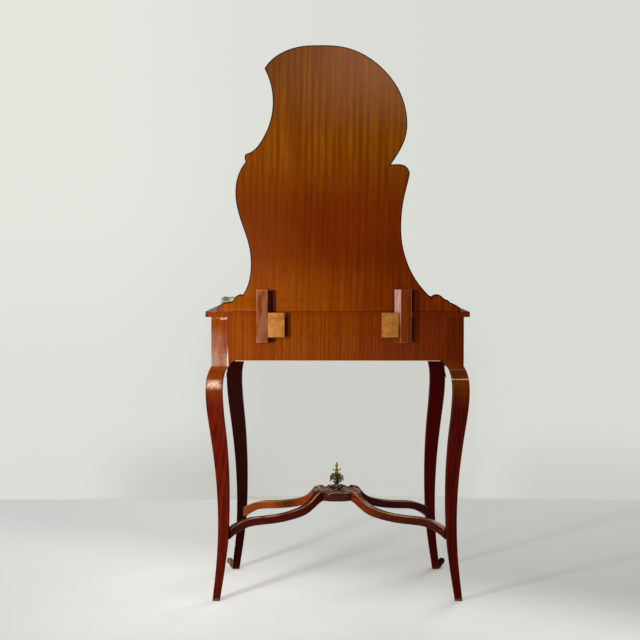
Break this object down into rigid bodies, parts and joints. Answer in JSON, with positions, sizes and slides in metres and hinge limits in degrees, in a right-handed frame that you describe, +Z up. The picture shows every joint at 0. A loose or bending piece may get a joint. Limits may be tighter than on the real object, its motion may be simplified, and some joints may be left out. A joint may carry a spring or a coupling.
{
  "type": "dressing table",
  "caption": "Dressing table on cabriole legs with a drawer, an arched X-stretcher with a finial, and a tall lopsided scrolled mirror hooked on behind.",
  "frame": {"origin": "on the floor, at the middle of the overall box", "axes": "+Z up, front with the drawer towards -Y, pictured back towards +Y, +X to the right of someone in front"},
  "size_m": [0.6764, 0.434, 1.4233],
  "materials": {
    "mahogany": "ribbon-striped mahogany veneer and solid, french polished",
    "secondary_wood": "plain planed oak, unpolished",
    "raw_block_wood": "raw sawn pine, yellowed",
    "gilt_bronze": "cast and gilt, worn to a greenish gold",
    "brass": "dull brass",
    "steel": "bare steel",
    "silvered_glass": "silvered plate glass"
  },
  "bodies": {
    "table": {"leg_back_right": "mahogany", "leg_back_left": "mahogany", "leg_front_right": "mahogany", "leg_front_left": "mahogany", "back_apron": "mahogany", "side_apron_right": "mahogany", "side_apron_left": "mahogany", "front_top_rail": "mahogany", "front_bottom_rail": "mahogany", "drawer_runner_right": "secondary_wood", "drawer_runner_left": "secondary_wood", "drawer_guide_right": "secondary_wood", "drawer_guide_left": "secondary_wood", "drawer_kickers": "secondary_wood", "drawer_stops": "secondary_wood", "glue_blocks": "secondary_wood", "table_top": "mahogany", "top_edge_moulding": "gilt_bronze", "stretcher_plateau": "mahogany", "stretcher_arm_back_right": "mahogany", "stretcher_arm_back_left": "mahogany", "stretcher_arm_front_right": "mahogany", "stretcher_arm_front_left": "mahogany", "finial_rosette": "gilt_bronze", "finial": "gilt_bronze", "finial_nut": "steel", "knee_mount_right": "gilt_bronze", "knee_mount_left": "gilt_bronze", "sabot_right": "gilt_bronze", "sabot_left": "gilt_bronze", "keeper_block_right": "raw_block_wood", "keeper_block_left": "raw_block_wood", "keeper_screws": "steel", "strike_plate": "brass"},
    "mirror": {"mirror_back_panel": "mahogany", "mirror_frame": "mahogany", "mirror_glass": "silvered_glass", "batten_right": "mahogany", "batten_left": "mahogany", "batten_screws": "steel", "crest_mount": "gilt_bronze", "shoulder_mount": "gilt_bronze", "foot_mount_right": "gilt_bronze", "foot_mount_left": "gilt_bronze"},
    "drawer": {"drawer_front": "mahogany", "drawer_side_right": "secondary_wood", "drawer_side_left": "secondary_wood", "drawer_back": "secondary_wood", "drawer_bottom": "secondary_wood", "lock_case": "brass", "escutcheon": "gilt_bronze", "handle_posts_right": "gilt_bronze", "handle_posts_left": "gilt_bronze"},
    "lock_bolt": {"lock_bolt": "steel"},
    "key": {"key": "brass"},
    "handle_right": {"handle_right": "gilt_bronze"},
    "handle_left": {"handle_left": "gilt_bronze"}
  },
  "joints": [
    {"name": "mirror_lift", "type": "slide", "parent": "table", "child": "mirror", "axis": [0, 0, 1], "range_m": [0, 0.1]},
    {"name": "drawer_slide", "type": "slide", "parent": "table", "child": "drawer", "axis": [0, -1, 0], "range_m": [0, 0.25]},
    {"name": "key_turn", "type": "hinge", "parent": "drawer", "child": "key", "pos_m": [0, -0.19, 0.688], "axis": [0, 1, 0], "range_deg": [0, 180]},
    {"name": "bolt_slide", "type": "slide", "parent": "drawer", "child": "lock_bolt", "axis": [0, 0, 1], "range_m": [0, 0.008]},
    {"name": "handle_right_swing", "type": "hinge", "parent": "drawer", "child": "handle_right", "pos_m": [0.13, -0.19767, 0.6897], "axis": [-1, 0, 0], "range_deg": [-12, 85]},
    {"name": "handle_left_swing", "type": "hinge", "parent": "drawer", "child": "handle_left", "pos_m": [-0.13, -0.19767, 0.6897], "axis": [-1, 0, 0], "range_deg": [-12, 85]}
  ],
  "couplings": [
    {"joint": "bolt_slide", "follows": "key_turn", "m_per_rad": 0.002546}
  ]
}
